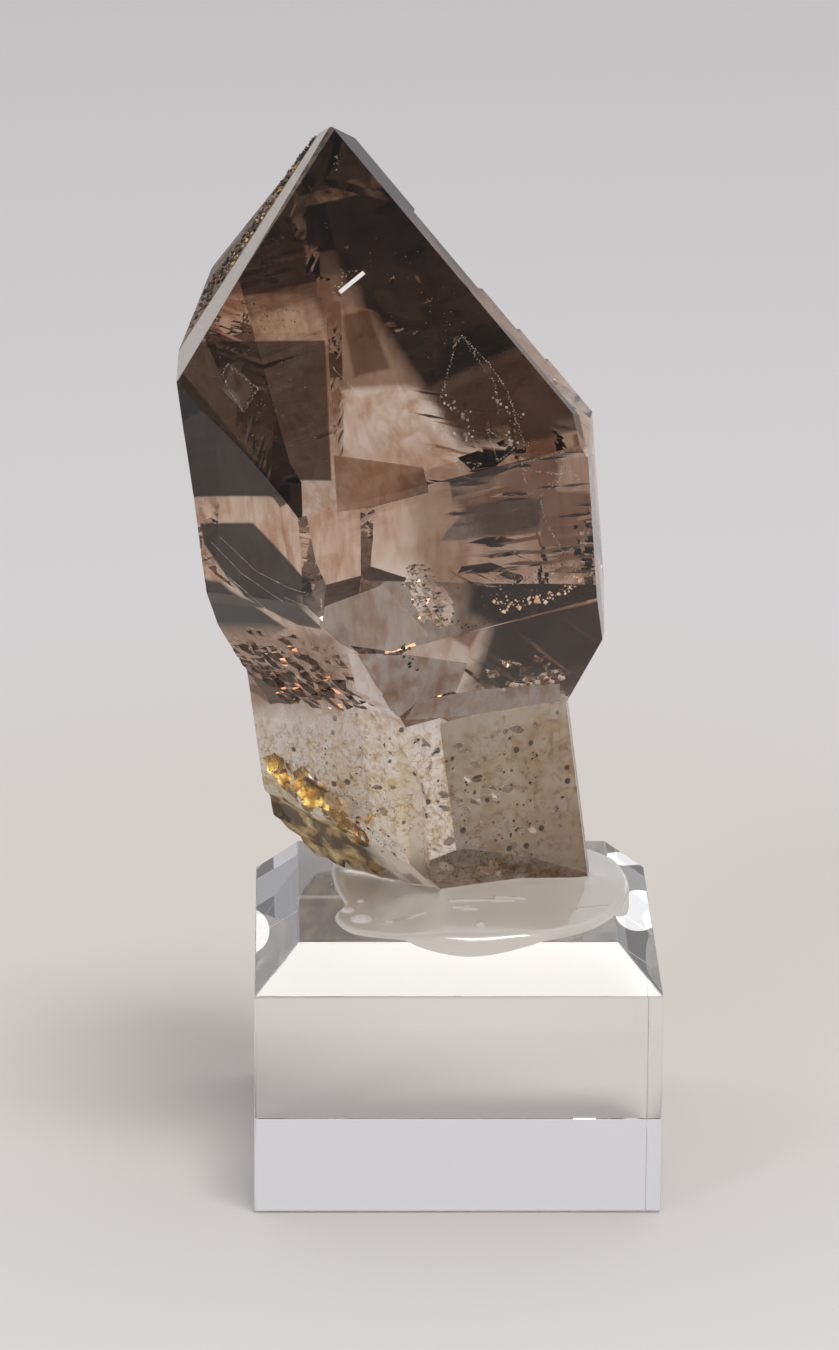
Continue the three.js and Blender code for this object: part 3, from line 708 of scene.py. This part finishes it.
# Strands of grains of each piece: face, depth, grain size, spread and points (across, up), in mm
STRANDS = {
    "pale_grains": [
        ("front", 0.50, 0.42, 0.45, [(-3.6, 33.0), (-2.1, 31.1), (-1.3, 27.8)]),
        ("front", 0.40, 0.22, 0.50, [(10.8, 30.6), (13.4, 29.4)]),
        ("front_left", 0.00, 0.09, 0.01, [(-6.4, 36.6), (-3.8, 34.8), (-1.1, 33.0)]),
        ("neck_front_left", 0.00, 0.09, 0.01, [(-1.0, 38.3), (-0.4, 36.1), (0.6, 34.6), (3.7, 34.2)]),
        ("front_left", 0.00, 0.06, 0.01, [(-5.4, 38.0), (-2.2, 35.2), (1.4, 33.4), (2.4, 33.0)]),
        ("neck_front_left", 0.00, 0.06, 0.01, [(2.6, 38.9), (4.0, 38.4), (5.2, 37.8)]),
        ("front_left", 0.00, 0.06, 0.01, [(-4.4, 38.6), (-0.6, 35.6), (3.0, 34.4), (5.6, 34.0)]),
        ("stem_front", 0.05, 0.14, 0.03, [(-5.8, 15.4), (-4.6, 13.5), (-3.5, 11.4), (-3.3, 9.3)]),
    ],
    "veil_grains": [
        ("front_rhomb", 0.00, 0.13, 0.07,
         [(3.3, 31.4), (6.7, 36.3), (7.7, 37.1), (9.2, 33.6), (9.9, 30.8), (9.6, 26.7), (9.6, 25.1)]),
        ("front_rhomb", 0.00, 0.11, 0.06, [(7.7, 37.1), (8.1, 35.2), (9.0, 31.5), (8.3, 28.8)]),
        ("front_rhomb", 0.00, 0.32, 0.34, [(3.3, 31.4), (5.0, 30.2), (4.6, 26.9), (2.1, 29.1)]),
        ("front_rhomb", 0.00, 0.32, 0.36, [(8.4, 30.5), (9.9, 28.3), (8.2, 26.4), (9.8, 24.6)]),
        ("front_rhomb", 0.00, 0.12, 0.05, [(6.6, 27.5), (8.5, 25.1), (6.4, 24.2), (6.6, 27.5)]),
        ("front_rhomb", 0.00, 0.12, 0.05, [(2.4, 25.2), (4.8, 24.4), (3.0, 23.9), (2.4, 25.2)]),
        ("front", 0.00, 0.13, 0.05, [(8.6, 41.0), (13.1, 40.9), (12.3, 38.6), (8.9, 37.8), (8.6, 41.0)]),
        ("front_rhomb", 0.00, 0.13, 0.05,
         [(-15.9, 39.0), (-15.0, 40.0), (-13.1, 36.9), (-15.3, 35.0), (-15.9, 39.0)]),
        ("front_rhomb", 0.00, 0.10, 0.03, [(-5.6, 37.4), (-4.4, 34.7), (-6.3, 33.4)]),
        ("front_rhomb", 0.00, 0.20, 0.22, [(-2.3, 44.6), (-1.4, 45.6), (0.2, 46.0)]),
        ("front_rhomb", 0.00, 0.24, 0.16, [(2.3, 57.7), (2.2, 56.2)]),
        ("front", 0.00, 0.13, 0.06,
         [(8.0, 40.6), (12.8, 38.7), (10.0, 37.3), (10.3, 34.9), (11.6, 31.5), (14.0, 31.6), (15.1, 34.2)]),
        ("front", 0.00, 0.12, 0.05, [(12.0, 40.4), (13.8, 38.5), (15.1, 36.5), (15.1, 34.7)]),
        ("front", 0.00, 0.24, 0.30, [(5.0, 29.9), (9.1, 29.6), (12.6, 29.2), (14.4, 30.4)]),
    ],
    "gold_grains": [
        ("neck_front", 0.40, 0.40, 0.60, [(2.4, 21.9), (5.2, 20.6), (8.2, 21.0), (10.6, 20.2)]),
        ("left_rhomb", 0.00, 0.40, 0.60, [(-4.6, 42.4), (-1.2, 38.6), (2.3, 36.4)]),
        ("neck_front_left", 0.25, 0.20, 0.20, [(0.4, 31.2), (4.4, 31.1)]),
    ],
    # Pale amber grains along the gold band: amber specks, and a painted highlight for the band's glints
    "amber_glint_grains": [
        ("front", 0.00, 0.42, 0.26, [(4.0, 28.9), (5.1, 27.7), (7.7, 27.3), (10.3, 27.4), (13.0, 28.0)]),
        ("front", 0.00, 0.26, 0.30, [(4.4, 28.2), (7.7, 27.6), (10.3, 27.7), (13.4, 28.4)]),
    ],
    "brown_grains": [
        ("stem_front_left", 0.30, 0.16, 0.12, [(-9.4, 12.4), (-6.6, 9.9), (-1.6, 9.4), (2.4, 7.6)]),
        ("stem_front_left", 0.20, 0.14, 0.10, [(0.6, 6.4), (1.4, 3.8), (1.1, 1.4)]),
        ("stem_front_left", 0.20, 0.12, 0.10, [(2.6, 5.2), (3.0, 2.2), (2.4, 0.4)]),
        ("stem_front", 0.30, 0.13, 0.12, [(1.0, 3.0), (3.2, 0.6), (4.4, -0.8)]),
        ("stem_front", 0.30, 0.12, 0.10, [(-1.4, 5.0), (-2.0, 2.6), (-1.2, 0.2)]),
    ],
    "dark_grains": [
        ("front", 0.10, 0.20, 0.12, [(-1.4, 28.2), (1.4, 26.7), (6.5, 26.6), (14.8, 27.0)]),
        ("neck_front", 0.30, 0.40, 0.30, [(-5.3, 30.1), (-4.4, 26.4)]),
    ],
}

# Scattered grains of each piece: face, depth, grain size, how many, corners of a convex patch
LEFT_RHOMB_PATCH = [(-11, 46), (-9.2, 48.6), (9.0, 30.6), (-5, 31.2)]
SCATTERS = {
    "veil_grains": [
        ("front_rhomb", 0.00, 0.07, 50, [(-18, 42), (-5, 40), (-9, 28), (-19, 33)]),
        ("front_rhomb", 0.00, 0.07, 60, [(-2, 52), (10, 45), (14, 33), (3, 36)]),
    ],
    "gold_grains": [
        ("front", 0.70, 0.16, 60, [(0, 31), (12, 31), (14, 27), (0, 27)]),
        ("left_rhomb", 0.00, 0.32, 80, [(-9.5, 44), (-7.2, 46.6), (3.5, 35.6), (-5, 36)]),
    ],
    "brown_grains": [
        ("stem_front", 1.20, 0.30, 70, [(-3, 13), (12, 11), (10, 0), (-3, 0)]),
        ("stem_front_left", 0.80, 0.22, 26, [(-5, 14), (4.5, 15), (4.5, 2), (0, 3)]),
        ("left_rhomb", 0.00, 0.45, 220, LEFT_RHOMB_PATCH),
    ],
    "dark_grains": [
        ("front_rhomb", 0.15, 0.15, 46, [(-12.3, 46.0), (-4.4, 43.8), (-5.3, 40.6), (-13.4, 42.6)]),
        ("stem_front", 0.60, 0.26, 16, [(-3, 12), (8, 10), (7, 1), (-3, 1)]),
        ("left_rhomb", 0.00, 0.50, 220, LEFT_RHOMB_PATCH),
    ],
}

# How far apart a strand's grains are, as a share of their size
GRAIN_SPACING = 0.7

# The light and the dark colour of each piece's grains
GRAIN_COLOURS = {
    "pale_grains": ((0.95, 0.88, 0.78, 1), (0.62, 0.52, 0.42, 1)),
    "veil_grains": ((0.62, 0.52, 0.43, 1), (0.28, 0.20, 0.15, 1)),
    "gold_grains": ((0.98, 0.72, 0.30, 1), (0.55, 0.30, 0.10, 1)),
    # The pale amber grains are partly a painted highlight for the gold band's glints
    "amber_glint_grains": ((1.0, 0.82, 0.58, 1), (0.80, 0.50, 0.26, 1)),
    "brown_grains": ((0.30, 0.17, 0.08, 1), (0.10, 0.055, 0.03, 1)),
    "dark_grains": ((0.05, 0.035, 0.025, 1), (0.012, 0.009, 0.007, 1)),
}


def strand(bm, face, depth, size, spread, points, chance):
    """Grains close together along a line of points on a face."""
    for first, second in zip(points, points[1:]):
        first, second = Vector(first), Vector(second)
        count = max(1, round((second - first).length / (GRAIN_SPACING * size)))
        for step in range(count):
            spot = first.lerp(second, (step + chance.random()) / count)
            spot += Vector((chance.gauss(0, spread), chance.gauss(0, spread)))
            under = depth * (1 + abs(chance.gauss(0, 0.5)))
            grain(bm, face.at(spot.x, spot.y, under), size * (0.4 + 1.2 * chance.random() ** 2), chance)


def scatter(bm, face, depth, size, count, corners, chance):
    """Grains spread over a patch with four corners."""
    for _ in range(count):
        spot = spot_in(corners, chance)
        place = face.at(spot.x, spot.y, depth * chance.uniform(0.6, 2.0))
        grain(bm, place, size * chance.uniform(0.4, 1.5), chance)


def grain_material(name, light, dark):
    n = Material(name)
    cloud = n.ramp(n.noise(crystal_place(n), 1.7, 3.0), 0.35, 0.65)
    n.set(Base_Color=n.mix(cloud, dark, light), Roughness=0.5)
    return n.material


def inclusions():
    """The grains that the crystal holds, one piece for each colour."""
    chance = random.Random(7)
    for name, (light, dark) in GRAIN_COLOURS.items():
        bm = bmesh.new()
        for face, *line in STRANDS[name]:
            strand(bm, FACES[face], *line, chance)
        for face, *patch in SCATTERS.get(name, ()):
            scatter(bm, FACES[face], *patch, chance)
        mesh_object(name, mesh_of(name, bm), [grain_material(name, light, dark)])


# The way that a gold sheet faces to mirror the side lamp to the photograph's camera
GOLD_FACING = Vector((-0.43, -0.87, 0.26))

# Clusters of bright sheets under the stem's front left face: across, up, spread, radius, count
GOLD_CLUSTERS = [
    (-9.9, 11.4, 0.35, 0.7, 6), (-8.9, 10.0, 0.35, 0.6, 6), (-6.1, 9.1, 0.6, 1.0, 9),
    (-4.6, 8.6, 0.6, 0.8, 7), (0.6, 7.2, 0.5, 0.35, 7), (-5.6, 6.4, 1.2, 0.35, 8),
    (-2.4, 5.2, 1.0, 0.3, 8), (1.4, 3.6, 0.6, 0.3, 5),
]

# Deeper sheets: how many, where their line starts and ends (across, up), and how far off it
DEEP_SHEETS = 36
DEEP_SHEETS_LINE = (-10.6, 10.6), (1.8, 3.0)
DEEP_SHEETS_SPREAD = (1.2, 1.7)


def gold_flakes():
    """Iron-stained fracture sheets at the broken lower left of the stem."""
    chance = random.Random(11)
    face = FACES["stem_front_left"]
    towards = TURNED_BACK @ GOLD_FACING
    bm = bmesh.new()
    for across, up, spread, radius, count in GOLD_CLUSTERS:
        for _ in range(count):
            place = face.at(chance.gauss(across, spread), chance.gauss(up, spread), chance.uniform(0.3, 0.9))
            facing = shaken(towards, 0.035, chance)
            flake(bm, place, facing, radius * chance.uniform(0.5, 1.1), chance, dishing=0.03, cover=0.45)
    for _ in range(DEEP_SHEETS):
        along = chance.random()
        across, up = (
            first + (last - first) * along + chance.uniform(-off, off)
            for first, last, off in zip(*DEEP_SHEETS_LINE, DEEP_SHEETS_SPREAD)
        )
        facing = shaken(towards, 0.35, chance)
        place = face.at(across, up, chance.uniform(1.0, 2.8))
        flake(bm, place, facing, chance.uniform(0.4, 1.3), chance)
    n = Material("gold_stain")
    cloud = n.ramp(n.noise(crystal_place(n), 1.1, 4.0), 0.4, 0.6)
    n.set(Base_Color=n.mix(cloud, (0.62, 0.36, 0.10, 1), (1.0, 0.78, 0.28, 1)), Metallic=0.85, Roughness=0.22)
    mesh_object("gold_flakes", mesh_of("gold_flakes", bm), [n.material])


def plate(bm, face, corners, depth, thickness):
    """A thin flat closed plate under a face; its corners are (across, up)."""
    rows = []
    for level in (depth, depth + thickness):
        rows.append([bm.verts.new(in_world(face.at(x, y, level))) for x, y in corners])
    close_up(bm, rows)


# Pale plates inside the crystal: healed fractures, which in the head and neck also stand in for the light
# seen through its windows, as painted light. Face, depth, corners (across, up) in mm
VEILS = [
    ("front", 0.9,
     [(-12.4, 32.0), (-6.4, 32.6), (-4.6, 30.0), (-2.5, 26.6), (-6.3, 26.0), (-11.0, 27.9), (-12.9, 30.2)]),
    ("neck_front", 0.5,
     [(-10.9, 30.4), (-4.6, 28.4), (1.5, 25.4), (0.6, 22.3), (-3.4, 22.2), (-5.1, 20.9), (-9.7, 25.4)]),
    ("neck_front", 0.35, [(-4.7, 20.3), (-3.4, 22.4), (3.2, 21.6), (11.5, 19.6), (11.7, 17.4), (3.2, 18.4)]),
    ("front_rhomb", 0.6, [(-8.4, 28.9), (-0.6, 25.6), (-0.9, 23.2), (-6.4, 23.2), (-10.0, 23.6)]),
]
VEIL_THICKNESS = 0.05

# Small pale fractures under the stem's front face: how many, and how far across, up and deep
STEM_VEILS = 46
STEM_VEIL_REACHES = [(-3, 9.5), (0, 14.5), (0.4, 3.0)]


def veils():
    """The healed fractures as flat plates, which in the head and neck also paint light into the windows, and
    the small ones in the stem.
    """
    chance = random.Random(31)
    bm = bmesh.new()
    for face, depth, corners in VEILS:
        plate(bm, FACES[face], corners, depth, VEIL_THICKNESS)
    for _ in range(STEM_VEILS):
        place = FACES["stem_front"].at(*[chance.uniform(*reach) for reach in STEM_VEIL_REACHES])
        facing = Vector((chance.gauss(0.2, 0.4), -0.5, 1)).normalized()
        flake(bm, place, facing, chance.uniform(0.2, 0.8), chance)
    face_out(bm)
    # Painted light: pale plates that brighten the head's windows, besides being healed fractures
    n = Material("painted_light_veil")
    place = crystal_place(n)
    drawn_out = n.add("ShaderNodeMapping", Vector=place, Rotation=(0, 0.6, 0), Scale=(1.2, 1.0, 0.35))
    cloud = n.ramp(n.noise(drawn_out.outputs[0], 0.9, 5.0, 0.8), 0.35, 0.65)
    n.set(Base_Color=n.mix(cloud, (1.0, 0.91, 0.84, 1), (0.90, 0.74, 0.64, 1)), Roughness=0.5,
          Transmission_Weight=0.1)
    mesh_object("painted_light_veils", mesh_of("painted_light_veils", bm), [n.material])


# The painted glint at the nick on the front rhomb face: its two ends (across, up) and half width in mm
SLIT_ENDS = (-2.1, 44.2), (0.9, 45.5)
SLIT_HALF_WIDTH = 0.22


def bright_slit():
    """The bright glint at the nick, as a small white plate: a painted highlight."""
    first, second = (Vector(end) for end in SLIT_ENDS)
    aside = (second - first).orthogonal().normalized() * SLIT_HALF_WIDTH
    bm = bmesh.new()
    corners = (first - aside, second - aside * 0.8, second + aside, first + aside * 0.8)
    plate(bm, FACES["front_rhomb"], corners, 0.03, 0.09)
    face_out(bm)
    n = Material("painted_glint")
    cloud = n.noise(crystal_place(n), 3.0)
    # Painted highlight: the white plate stands in for the light that the nick mirrors
    n.set(Base_Color=n.mix(cloud, (1.0, 0.99, 0.96, 1), (0.9, 0.88, 0.84, 1)), Roughness=0.2)
    mesh_object("bright_slit", mesh_of("bright_slit", bm), [n.material])


# Air-filled cracks: face, depth and its range, radius, how many, facing, spread, corners of a patch
CRACKS = [
    ("front", 2.0, 7.0, 2.4, 12, (0.1, 0.1, 1), 0.10, [(3, 40), (14, 40), (13, 30), (4, 30)]),
    ("front", 1.0, 3.0, 1.6, 10, (0.3, 0.1, 1), 0.22, [(-2, 35), (8, 34), (12, 28), (0, 28)]),
    ("front_rhomb", 0.8, 2.0, 0.9, 7, (0.5, -0.2, 0.9), 0.5, [(5, 28), (11, 29), (10, 24.5), (2, 25)]),
    ("front_rhomb", 1.0, 3.0, 0.5, 10, (0.3, 0.6, 0.6), 0.5, [(-8, 52), (8, 48), (12, 36), (0, 34)]),
    ("neck_front", 1.0, 3.0, 0.8, 10, (0.2, -0.6, 0.7), 0.4, [(1, 24), (12, 23), (11, 20.5), (2, 20.5)]),
    ("stem_front", 2.0, 8.0, 0.7, 12, (0.2, -0.3, 1), 0.35, [(-3, 14), (11, 12), (10, 0), (-3, 0)]),
    ("stem_front_left", 1.0, 3.0, 0.6, 10, (0.5, 0.1, 0.8), 0.4, [(-4, 14), (4, 15), (4, 3), (0, 4)]),
    ("stem_front_left", 0.3, 3.0, 0.9, 34, (0.2, -0.6, 0.7), 0.6, [(-11, 12.5), (-3, 9), (2, 2), (-8, 4)]),
]
CRACK_WIDTH = 0.04


def cracks():
    """Thin air gaps inside the crystal: closed sheets whose faces look inwards."""
    chance = random.Random(23)
    bm = bmesh.new()
    for name, near, far, radius, count, facing, spread, corners in CRACKS:
        for _ in range(count):
            spot = spot_in(corners, chance)
            place = FACES[name].at(spot.x, spot.y, chance.uniform(near, far))
            tilted = shaken(Vector(facing).normalized(), spread, chance)
            flake(bm, place, tilted, radius * chance.uniform(0.5, 1.2), chance, CRACK_WIDTH)
    face_out(bm)
    bmesh.ops.reverse_faces(bm, faces=bm.faces)
    bmesh.ops.triangulate(bm, faces=bm.faces)
    for face in bm.faces:
        face.material_index = CRACK_SLOT
    return mesh_of("cracks", bm)


def crack_material():
    n = Material("crack_in_quartz")
    cloud = n.noise(crystal_place(n), 1.5)
    n.set(Base_Color=n.mix(cloud, (1.0, 1.0, 1.0, 1), (0.96, 0.92, 0.86, 1)), Roughness=0.03, IOR=QUARTZ_IOR,
          Transmission_Weight=1.0)
    return n.material


# How close the crystal's vertices are welded, in metres, and how flat an edge is dissolved
WELD = 1e-6
FLAT_ANGLE = math.radians(0.2)

# How nearly a face looks the way of the edge between the rhomb faces if it is frosted
FROSTED_ANGLE = math.radians(6)


def crystal():
    """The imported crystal, cut along the resin's level, with the cracks inside it."""
    bm = bmesh.new()
    bm.from_mesh(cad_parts["scepter_crystal"].data)
    bmesh.ops.remove_doubles(bm, verts=bm.verts, dist=WELD)
    bmesh.ops.dissolve_limit(bm, angle_limit=FLAT_ANGLE, verts=bm.verts, edges=bm.edges)
    for (left, low), (right, high) in zip(SEAT_RISES, SEAT_RISES[1:]):
        slope = (high - low) / (right - left)
        bmesh.ops.bisect_plane(bm, geom=bm.verts[:] + bm.edges[:] + bm.faces[:],
                               plane_co=Vector((left, 0, wet_level(left))) * MM,
                               plane_no=Vector((-slope, 0, 1)).normalized())
    bmesh.ops.triangulate(bm, faces=bm.faces)
    towards_edge = FACES["front_rhomb"].normal + FACES["left_rhomb"].normal
    edge_normal = CRYSTAL_TURNED @ towards_edge.normalized()
    for face in bm.faces:
        face.smooth = False
        centre = face.calc_center_median() / MM
        if centre.z < wet_level(centre.x):
            face.material_index = WET_SLOT
        elif face.normal.angle(edge_normal) < FROSTED_ANGLE:
            face.material_index = EDGE_SLOT
    bm.from_mesh(cracks())
    materials = [quartz(), quartz_in_resin(), frosted_edge(), crack_material()]
    obj = mesh_object("quartz_crystal", mesh_of("quartz_crystal", bm), materials)
    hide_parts("scepter_crystal")


def stem_middle(level):
    return Vector((*STEM_MIDDLE, level))


def stem_reach(direction, level):
    """How far the stem's side is from the stem's middle in a level direction, at a height."""
    local = TURNED_BACK @ (stem_middle(level) - CRYSTAL_AT)
    heading = TURNED_BACK @ direction
    reaches = []
    for face in STEM_FACES:
        closing = heading.dot(face.normal)
        if closing > 1e-6:
            reaches.append((face.distance - local.dot(face.normal)) / closing)
    return min(reaches)


def smooth_loop(points, count, steps=8):
    """A closed curve through the points in small steps, as count points along it."""
    curve = []
    total = len(points)
    for index in range(total):
        a, b, c, d = (Vector(points[(index + k) % total]) for k in (-1, 0, 1, 2))
        for step in range(steps):
            t = step / steps
            curve.append(0.5 * (2 * b + (c - a) * t + (2 * a - 5 * b + 4 * c - d) * t * t
                                + (3 * b - a - 3 * c + d) * t ** 3))
    return [curve[round(k * len(curve) / count) % len(curve)] for k in range(count)]


def seat_rise(x):
    """How far the resin stands over the block by the crystal."""
    if x <= SEAT_RISES[0][0]:
        return SEAT_RISES[0][1]
    for (left, low), (right, high) in zip(SEAT_RISES, SEAT_RISES[1:]):
        if x < right:
            return low + (high - low) * (x - left) / (right - left)
    return SEAT_RISES[-1][1]


def wet_level(x):
    """The height that the resin reaches on the crystal."""
    return BLOCK_HEIGHT + seat_rise(x) + MENISCUS_RISE


def seat_surface(place, to_rim, to_stem):
    """The resin's height at a place: it falls away from the crystal and is rounded at its rim."""
    swell = max(0.0, min(1.0, to_rim / SEAT_ROUNDING))
    fall = 1 - SEAT_FALL * to_stem / (to_stem + to_rim + 0.01)
    beyond = -place.y - (BLOCK_SIDE / 2 - BLOCK_CHAMFER)
    drop = SEAT_OVERHANG * (beyond + math.hypot(beyond, SEAT_SHOULDER)) / 2
    climb = MENISCUS_RISE * math.exp(-to_stem / MENISCUS_REACH)
    return BLOCK_HEIGHT + seat_rise(place.x) * fall * math.sqrt(1 - (1 - swell) ** 2) - drop + climb


def seat_contact(heading, reach):
    """How far from the stem's middle the resin meets the stem, in a level direction."""
    near = stem_reach(heading, wet_level(STEM_MIDDLE[0]))
    contact = stem_reach(heading, wet_level(STEM_MIDDLE[0] + heading.x * near))
    return min(contact, reach - SEAT_LEAST_WIDTH)


def ring_distance(ring, contact, reach):
    """How far from the stem's middle a ring is: evenly up to the stem, then closer at both ends."""
    if ring <= SEAT_INNER_RINGS:
        return contact * ring / SEAT_INNER_RINGS
    share = (ring - SEAT_INNER_RINGS) / SEAT_OUTER_RINGS
    return contact + (reach - contact) * (1 - math.cos(share * math.pi)) / 2


def seat_mound():
    """The resin over the block, in rings: through the crystal's foot, out to the rim and down."""
    middle = stem_middle(0)
    rim = smooth_loop(SEAT_OUTLINE, SEAT_SPOKES)
    bm = bmesh.new()
    rows = []
    for ring in range(1, SEAT_INNER_RINGS + SEAT_OUTER_RINGS + 1):
        row = []
        for edge in rim:
            arm = Vector((edge.x - middle.x, edge.y - middle.y, 0))
            reach = arm.length
            heading = arm.normalized()
            contact = seat_contact(heading, reach)
            out = ring_distance(ring, contact, reach)
            place = middle + heading * out
            place.z = seat_surface(place, reach - out, max(0.0, out - contact))
            row.append(bm.verts.new(place * MM))
        rows.append(row)
    bottom = BLOCK_HEIGHT - SEAT_DEPTH
    rows.append([bm.verts.new(Vector((edge.x, edge.y, bottom)) * MM) for edge in rim])
    top = bm.verts.new(stem_middle(wet_level(middle.x)) * MM)
    base = bm.verts.new(stem_middle(bottom) * MM)
    for spoke in range(SEAT_SPOKES):
        after = (spoke + 1) % SEAT_SPOKES
        bm.faces.new((top, rows[0][spoke], rows[0][after])).material_index = ON_CRYSTAL_SLOT
        for ring, (upper, lower) in enumerate(zip(rows, rows[1:])):
            face = bm.faces.new((upper[spoke], lower[spoke], lower[after], upper[after]))
            face.material_index = ON_CRYSTAL_SLOT if ring < SEAT_INNER_RINGS - 1 else RESIN_SLOT
        bm.faces.new((base, rows[-1][after], rows[-1][spoke]))
    for face in bm.faces:
        face.smooth = True
    face_out(bm)
    return mesh_of("seat_mound", bm)


# Details of the resin, in mm: beads as (x, y, radius) and wrinkles as two ends (x, y)
BEADS = [(2.1, -13.4, 0.55), (-8.9, -10.2, 1.2), (-10.2, -7.6, 0.8), (-9.0, -5.2, 0.5)]
WRINKLES = [
    ((-6.8, -11.2), (-2.9, -10.6)), ((-0.8, -8.8), (5.5, -8.4)), ((-0.3, -10.2), (1.9, -10.4)),
    ((3.6, -7.9), (6.5, -7.8)), ((11.3, -8.4), (14.3, -6.9)),
]
WRINKLE_HEIGHT = 0.15
WRINKLE_SINK = 0.1

# How deep a bead's middle lies under the surface, as a share of its radius
BEAD_SINK = 0.55


def seat_details(mound):
    """A bubble and drops that stand in the resin's surface, and its fine straight wrinkles."""
    tree = surface_of(mound)
    overhead = BLOCK_HEIGHT + 30

    def on_surface(x, y):
        return tree.ray_cast(Vector((x, y, overhead)) * MM, -Z_AXIS)[0] / MM

    bm = bmesh.new()
    for x, y, radius in BEADS:
        place = Matrix.Translation((on_surface(x, y) - Z_AXIS * BEAD_SINK * radius) * MM)
        bmesh.ops.create_uvsphere(bm, u_segments=24, v_segments=12, radius=radius * MM, matrix=place)
    sunk = Z_AXIS * WRINKLE_SINK
    for first, second in WRINKLES:
        ends = [on_surface(*first), on_surface(*second)]
        aside = Z_AXIS.cross(ends[1] - ends[0]).normalized() * WRINKLE_HEIGHT
        rows = []
        for end in ends:
            corners = (end - aside - sunk, end + aside - sunk, end + Z_AXIS * WRINKLE_HEIGHT)
            rows.append([bm.verts.new(corner * MM) for corner in corners])
        close_up(bm, rows)
    for face in bm.faces:
        face.material_index = RESIN_SLOT
    face_out(bm)
    return mesh_of("seat_details", bm)


def block():
    """The square block with its four top edges cut at 45 degrees and every edge just eased."""
    half = BLOCK_SIDE / 2
    inset = half - BLOCK_CHAMFER
    levels = ((half, 0.0), (half, BLOCK_HEIGHT - BLOCK_CHAMFER), (inset, BLOCK_HEIGHT))
    bm = bmesh.new()
    rows = []
    for reach, height in levels:
        corners = ((-reach, -reach), (reach, -reach), (reach, reach), (-reach, reach))
        rows.append([bm.verts.new(Vector((x, y, height)) * MM) for x, y in corners])
    close_up(bm, rows)
    bmesh.ops.bevel(bm, geom=bm.edges[:], offset=BLOCK_EDGE * MM, segments=2, affect="EDGES",
                    profile=0.5)
    return mesh_of("block", bm)


def joined(first, second):
    """One mesh from two closed meshes that overlap, with the slot of each face kept."""
    base = link(bpy.data.objects.new("first", first))
    tool = link(bpy.data.objects.new("second", second))
    for obj in (base, tool):
        for _ in range(BASE_SLOTS):
            obj.data.materials.append(None)
    modifier = base.modifiers.new("join", "BOOLEAN")
    modifier.operation = "UNION"
    modifier.solver = "EXACT"
    modifier.object = tool
    evaluated = base.evaluated_get(bpy.context.evaluated_depsgraph_get())
    mesh = bpy.data.meshes.new_from_object(evaluated)
    bpy.data.objects.remove(base)
    bpy.data.objects.remove(tool)
    return mesh


def clear_base():
    """The block, the resin and its details as one piece, with no gap that would mirror.

    Where the crystal's foot stands in it, the crystal's own surface bends the light instead.
    """
    mound = seat_mound()
    details = seat_details(mound)
    mesh = joined(joined(block(), mound), details)
    mesh.name = "clear_base"
    slots = [face.material_index for face in mesh.polygons]
    mesh.materials.clear()
    materials = [acrylic("clear_acrylic", ACRYLIC_IOR), acrylic("resin_on_crystal", UNBENT_IOR), resin()]
    obj = mesh_object("clear_base", mesh, materials)
    for face, slot in zip(mesh.polygons, slots):
        face.material_index = slot
    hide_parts("acrylic_block", "resin_seat")


photo_camera()
floor()
lighting()
crystal()
inclusions()
gold_flakes()
veils()
bright_slit()
clear_base()
